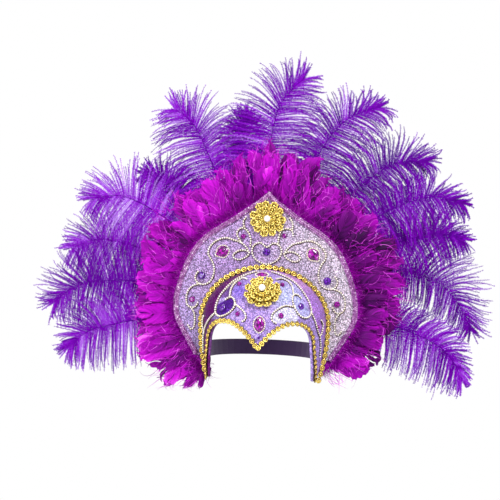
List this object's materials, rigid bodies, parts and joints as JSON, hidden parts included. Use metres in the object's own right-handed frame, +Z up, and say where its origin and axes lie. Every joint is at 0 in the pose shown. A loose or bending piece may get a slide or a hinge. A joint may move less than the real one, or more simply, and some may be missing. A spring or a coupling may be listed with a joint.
{
  "type": "carnival feather headdress",
  "caption": "Worn carnival headdress: a glitter cap and spade-shaped back panel with gold braid, brooches, stones and bead scrolls, a goose-feather ruff and a fan of ostrich plumes.",
  "frame": {"origin": "centre of the head hollow, level with the tops of the brow arcs; the mount head_seat", "axes": "+Z up through the crown of the head, -Y out of the forehead, +X to the right seen from the front"},
  "size_m": [0.657, 0.1966, 0.4703],
  "materials": {
    "glitter_panel": "lilac and silver glitter fabric",
    "glitter_cap": "pale lilac holographic glitter fabric",
    "elastic_band": "dull woven band",
    "gold_braid": "bright scalloped gold braid",
    "gold_metal": "polished gold filigree",
    "bead_edging": "pink and lilac seed beads",
    "bead_pearl": "cream and gold pearl beads",
    "pearl_white": "white pearl",
    "violet_stone": "cut violet rhinestone",
    "magenta_stone": "cut magenta rhinestone",
    "ruff_feather": "satin magenta goose feathers",
    "ostrich_feather": "soft violet ostrich barbs"
  },
  "bodies": {
    "root": {"front_cap": "glitter_cap", "back_panel": "glitter_panel", "head_band": "elastic_band", "outer_braid": "gold_braid", "brow_braid": "gold_braid", "edge_trim": "bead_edging", "upper_brooch": "gold_metal", "front_brooch": "gold_metal", "upper_pearl": "pearl_white", "front_pearl": "pearl_white", "stone_heart": "violet_stone", "stone_drop_left": "magenta_stone", "stone_drop_right": "magenta_stone", "stone_loop_left": "magenta_stone", "stone_loop_right": "magenta_stone", "stone_hook_left": "violet_stone", "stone_hook_right": "violet_stone", "stone_side_left": "magenta_stone", "stone_side_right": "magenta_stone", "stone_top_oval": "magenta_stone", "stone_brow_oval": "magenta_stone", "stone_brow_tiny": "violet_stone", "stone_high_left": "magenta_stone", "stone_high_right": "magenta_stone", "stone_field_left": "violet_stone", "stone_field_right": "violet_stone", "stone_lobe_left": "magenta_stone", "stone_lobe_right": "magenta_stone", "stone_temple": "magenta_stone", "scroll_panel_left": "bead_pearl", "scroll_panel_right": "bead_pearl", "scroll_heart": "bead_pearl", "scroll_cap_left": "bead_pearl", "scroll_cap_right": "bead_pearl", "ruff_1": "ruff_feather", "ruff_2": "ruff_feather", "ruff_3": "ruff_feather", "ruff_4": "ruff_feather", "ruff_5": "ruff_feather", "plume_01": "ostrich_feather", "plume_02": "ostrich_feather", "plume_03": "ostrich_feather", "plume_04": "ostrich_feather", "plume_05": "ostrich_feather", "plume_06": "ostrich_feather", "plume_07": "ostrich_feather", "plume_08": "ostrich_feather", "plume_09": "ostrich_feather", "plume_10": "ostrich_feather", "plume_11": "ostrich_feather", "plume_12": "ostrich_feather", "plume_13": "ostrich_feather", "plume_14": "ostrich_feather"}
  },
  "joints": []
}
